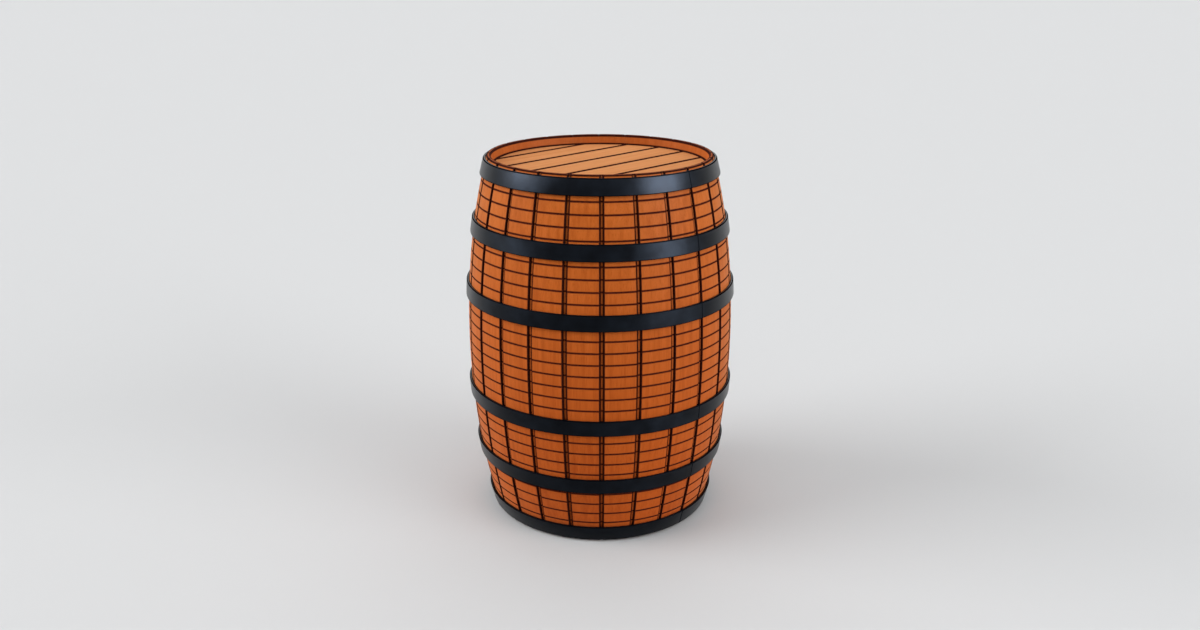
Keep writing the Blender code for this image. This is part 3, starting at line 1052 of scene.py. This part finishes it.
# %% All head boards
BOARD_COUNT = 7
EDGE_BOARD_SHARE = 0.6
full_boards = BOARD_COUNT - 2
board_width = 2 * HEAD_RADIUS / (full_boards + 2 * EDGE_BOARD_SHARE)
board_joints = [(index - full_boards / 2) * board_width for index in range(full_boards + 1)]
along_boards = Matrix.Rotation(BOARD_ANGLE - math.pi / 2, 4, "Z")
turned_over = Matrix.Rotation(math.pi, 4, "X")
heads = {
    "top": (LIT_HEAD_OAK_TOP, Matrix.Translation((0, 0, HEIGHT - HEAD_RECESS)) @ along_boards),
    "bottom": (LIT_HEAD_OAK_BOTTOM, Matrix.Translation((0, 0, HEAD_RECESS)) @ turned_over @ along_boards),
}
for index, (left, right) in enumerate(zip([None] + board_joints, board_joints + [None])):
    board = board_mesh(left, right)
    for end, (lit_head_oak, placing) in heads.items():
        mesh = board.copy()
        mesh.transform(placing)
        node = f"head_{end}_board_{index + 1}"
        finishes = [lit_head_oak, SCORCHED_OAK, CHARRED_OAK]
        add_piece("oak_" + node, mesh, finishes, node, chance.random())
print(2 * BOARD_COUNT, "head boards,", round(board_width * 1000, 1), "mm wide")

# %% [markdown]
# ## Bung
# The bung is a tapered plug, turned from a pale close-grained wood so that it swells tight in the oak. A
# cone with two bevels would do, but a profile spun about its own axis is just what a lathe makes. It is
# then laid along +Y, where the bung stave is.

# %% Turned bung
BUNG_CHAMFER = 0.0015
# Turned beech looks pale, fine and silky, so it stands out from the staves.
BUNG_WOOD = oak("turned_beech", ("#b98350", "#cf9a68", "#d9a878"), "X", 0.55, 0.05)


def bung_mesh():
    """Tapered plug with both ends chamfered."""
    inside = bung_low.y - STAVE_FLAT
    proud = bung_high.y - STAVE_FLAT
    narrow = bung_cone_radius(inside) - FIT
    wide = bung_cone_radius(proud) - FIT
    bm = spun([
        (0, inside), (narrow - BUNG_CHAMFER, inside), (narrow, inside + BUNG_CHAMFER),
        (wide, proud - BUNG_CHAMFER), (wide - BUNG_CHAMFER, proud), (0, proud),
    ], BUNG_STEPS)
    lay = Matrix.Translation((0, STAVE_FLAT, BUNG_HEIGHT)) @ Matrix.Rotation(-math.pi / 2, 4, "X")
    bmesh.ops.transform(bm, matrix=lay, verts=bm.verts)
    return to_mesh(bm, "bung")


add_piece("turned_bung", bung_mesh(), [BUNG_WOOD], "bung")
print("bung", round(2000 * BUNG_RADIUS), "mm across")

# %% [markdown]
# ## What the eye sees
# A pale floor throws a lot of light back at the barrel, which the photograph doesn't show. So the floor
# and the room each have two strengths: a pale one for rays from the camera, in reflections and through
# glass, and a darker one for light that bounces. The Light Path node tells them apart.

# %% Eye helper
def seen_by_eye(tree):
    """A socket that is one for rays from the camera, in reflections and through glass, else zero."""
    ray = add(tree, "ShaderNodeLightPath")
    seen = ray.outputs["Is Camera Ray"]
    for kind in ("Is Glossy Ray", "Is Transmission Ray"):
        either = add(tree, "ShaderNodeMath", {"operation": "MAXIMUM"}, {0: seen, 1: ray.outputs[kind]})
        seen = either.outputs["Value"]
    return seen


print("the eye's rays are told apart in the floor and the room")

# %% [markdown]
# ## Floor
# The barrel stands on even pale paper that runs far past the picture's edges. It keeps the barrel's
# shadow.

# %% Floor
FLOOR_SIZE = 160.0
FLOOR_SEEN = "#d3d4d5"
FLOOR_BOUNCE = "#a0a1a2"
FLOOR_ROUGHNESS = 0.9

bm = bmesh.new()
bmesh.ops.create_grid(bm, x_segments=1, y_segments=1, size=FLOOR_SIZE / 2)
floor_mesh = bpy.data.meshes.new("floor")
bm.to_mesh(floor_mesh)
bm.free()
# Pale paper looks flat and even, with no gloss at all.
floor_material, floor_tree, floor_shader = new_material("pale_paper")
floor_colour = add(floor_tree, "ShaderNodeMix", {"data_type": "RGBA"}, {
    "Factor": seen_by_eye(floor_tree),
    MIX_FIRST: linear(FLOOR_BOUNCE), MIX_SECOND: linear(FLOOR_SEEN),
})
feed(floor_shader, {
    "Base Color": floor_colour.outputs[MIX_RESULT],
    "Roughness": FLOOR_ROUGHNESS,
    "Specular IOR Level": 0.0,
})
floor_mesh.materials.append(floor_material)
floor = bpy.data.objects.new("floor", floor_mesh)
bpy.context.scene.collection.objects.link(floor)
print("floor", FLOOR_SIZE, "m wide")

# %% [markdown]
# ## Light
# Area lamps would light the wide floor in patches, so every lamp is a sun, and a wide sun throws a soft
# shadow. The head and the two flanks are lighter than the front: one sun stands overhead, two shine from
# the sides, and a weak one fills the back. The hoops show narrow upright highlights that the wood has no
# share in. Two more suns make them, and they are set so that only reflections see them.

# %% Lights
# Each sun has its degrees round from the camera and up, its strength, its width in degrees, and whether it
# lights the wood.
SUNS = {
    "overhead": (0.0, 90.0, 1.3, 120.0, True),
    "left": (-84.0, 22.0, 2.2, 44.0, True),
    "right": (63.0, 13.0, 2.0, 44.0, True),
    "back": (180.0, 45.0, 0.35, 60.0, True),
    "left_glint": (-86.0, 34.0, 3.2, 24.0, False),
    "right_glint": (63.0, 23.0, 6.3, 36.0, False),
}
for name, (azimuth, elevation, strength, width, lights_wood) in SUNS.items():
    sun_data = bpy.data.lights.new(name + "_sun", "SUN")
    sun_data.energy = strength
    sun_data.angle = math.radians(width)
    sun = bpy.data.objects.new(name + "_sun", sun_data)
    bpy.context.scene.collection.objects.link(sun)
    sun.visible_diffuse = lights_wood
    source = direction(math.radians(azimuth) + CAMERA_AZIMUTH, math.radians(elevation))
    sun.rotation_euler = source.to_track_quat("Z", "Y").to_euler()
print(len(SUNS), "suns")

# %% [markdown]
# ## Room
# Behind the floor lies an even pale room. The eye sees it at full strength, as it does the floor, while
# the light that it gives is weaker, so the barrel's shaded side stays dark. The Standard view shows each
# colour as it is written.

# %% Room
ROOM_COLOUR = "#e0e1e2"
ROOM_LIGHT = 0.32
world = bpy.data.worlds.new("pale_room")
bpy.context.scene.world = world
world.use_nodes = True
strength = add(world.node_tree, "ShaderNodeMapRange", None, {
    "Value": seen_by_eye(world.node_tree), "To Min": ROOM_LIGHT, "To Max": 1.0,
})
feed(world.node_tree.nodes["Background"], {
    "Color": linear(ROOM_COLOUR), "Strength": strength.outputs["Result"],
})
bpy.context.scene.view_settings.view_transform = "Standard"
print("the room gives", ROOM_LIGHT, "of the light that it shows")
